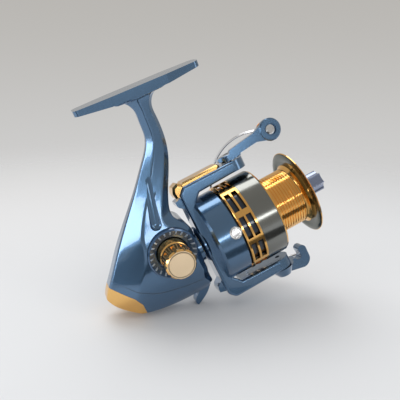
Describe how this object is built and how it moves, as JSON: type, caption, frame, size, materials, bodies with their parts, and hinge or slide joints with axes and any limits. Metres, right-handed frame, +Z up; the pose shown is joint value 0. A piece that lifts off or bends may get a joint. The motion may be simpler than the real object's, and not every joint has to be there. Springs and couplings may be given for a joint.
{
  "type": "spinning fishing reel",
  "caption": "Front-drag spinning reel: curved stem and foot, round gear case, flat rotor bracket with folding bail, long spool, drag knob and folding crank.",
  "frame": {"origin": "centre of the foot's seat, the flat face that lies against the rod", "axes": "+X forward along the spool axis, +Y towards the handle side, +Z up towards the rod; the seat itself slopes 2.7 degrees, front lower"},
  "size_m": [0.134, 0.1099, 0.1345],
  "materials": {
    "blue_paint": "glossy metallic paint",
    "dark_blue": "glossy",
    "gold": "polished gold anodised",
    "gunmetal": "polished dark anodised",
    "steel": "satin",
    "bright": "polished",
    "brass": "machined",
    "zinc": "cast",
    "washer": "matt felt",
    "grip": "matt",
    "knob_blue": "glossy"
  },
  "bodies": {
    "frame": {"housing": "blue_paint", "side_cover": "blue_paint", "rear_cap": "gold", "cover_screws": "steel", "collar": "dark_blue", "near_bearing": "steel", "far_bearing": "steel", "pinion_bearing": "steel"},
    "drive": {"drive_shaft": "steel", "drive_gear": "zinc", "crank_gear": "brass", "handle_cap": "gold", "handle_shank": "bright", "fold_pin": "steel"},
    "crank_arm": {"handle_arm": "blue_paint", "grip_spindle": "steel"},
    "grip": {"handle_grip": "grip", "grip_cap": "gold"},
    "oscillator": {"oscillation_gear": "brass"},
    "rotor": {"rotor": "blue_paint", "pinion": "brass", "rotor_nut": "steel", "arm_cover": "gold", "arm_heel": "gold", "upper_bail_screw": "steel", "lower_bail_screw": "steel"},
    "bail": {"bail_arm": "blue_paint", "bail_wire": "bright", "wire_holder": "bright", "bail_hook": "blue_paint", "roller_bush": "steel", "roller_screw": "bright"},
    "roller": {"line_roller": "gold"},
    "shaft": {"main_shaft": "steel", "oscillation_slider": "zinc"},
    "spool": {"spool": "gold", "skirt_band": "gunmetal", "spool_lip": "gunmetal", "lip_rim": "gold", "drag_washers": "washer"},
    "drag_knob": {"drag_knob": "knob_blue"},
    "lever": {"anti_reverse_lever": "blue_paint"}
  },
  "joints": [
    {"name": "crank_turn", "type": "hinge", "parent": "frame", "child": "drive", "pos_m": [-0.0202, 0, -0.0811], "axis": [0, 1, 0], "continuous": true},
    {"name": "handle_fold", "type": "hinge", "parent": "drive", "child": "crank_arm", "pos_m": [-0.0202, 0.0526, -0.0811], "axis": [0.766, 0, 0.6428], "range_deg": [0, 90]},
    {"name": "grip_spin", "type": "hinge", "parent": "crank_arm", "child": "grip", "pos_m": [0.01194, 0.055, -0.1194], "axis": [0, 1, 0], "continuous": true},
    {"name": "oscillator_turn", "type": "hinge", "parent": "frame", "child": "oscillator", "pos_m": [-0.03273, 0.0064, -0.08819], "axis": [0, 1, 0], "continuous": true},
    {"name": "rotor_turn", "type": "hinge", "parent": "frame", "child": "rotor", "pos_m": [-0.0069, 0, -0.0913], "axis": [1, 0, 0], "continuous": true},
    {"name": "bail_flip", "type": "hinge", "parent": "rotor", "child": "bail", "pos_m": [0.0321, 0, -0.0913], "axis": [0, -0.2079, -0.9781], "range_deg": [0, 140]},
    {"name": "roller_spin", "type": "hinge", "parent": "bail", "child": "roller", "pos_m": [0.0571, 0.00809, -0.05325], "axis": [0, 0.9781, -0.2079], "continuous": true},
    {"name": "spool_slide", "type": "slide", "parent": "frame", "child": "shaft", "axis": [1, 0, 0], "range_m": [0, 0.012]},
    {"name": "spool_drag", "type": "hinge", "parent": "shaft", "child": "spool", "pos_m": [0.0431, 0, -0.0913], "axis": [1, 0, 0], "continuous": true},
    {"name": "knob_turn", "type": "hinge", "parent": "shaft", "child": "drag_knob", "pos_m": [0.0631, 0, -0.0913], "axis": [1, 0, 0], "range_deg": [-540, 540]},
    {"name": "lever_swing", "type": "hinge", "parent": "frame", "child": "lever", "pos_m": [-0.0105, 0, -0.1089], "axis": [1, 0, 0], "range_deg": [0, 30]}
  ],
  "couplings": [
    {"joint": "rotor_turn", "follows": "crank_turn", "ratio": 5.2},
    {"joint": "oscillator_turn", "follows": "crank_turn", "ratio": -0.8}
  ]
}
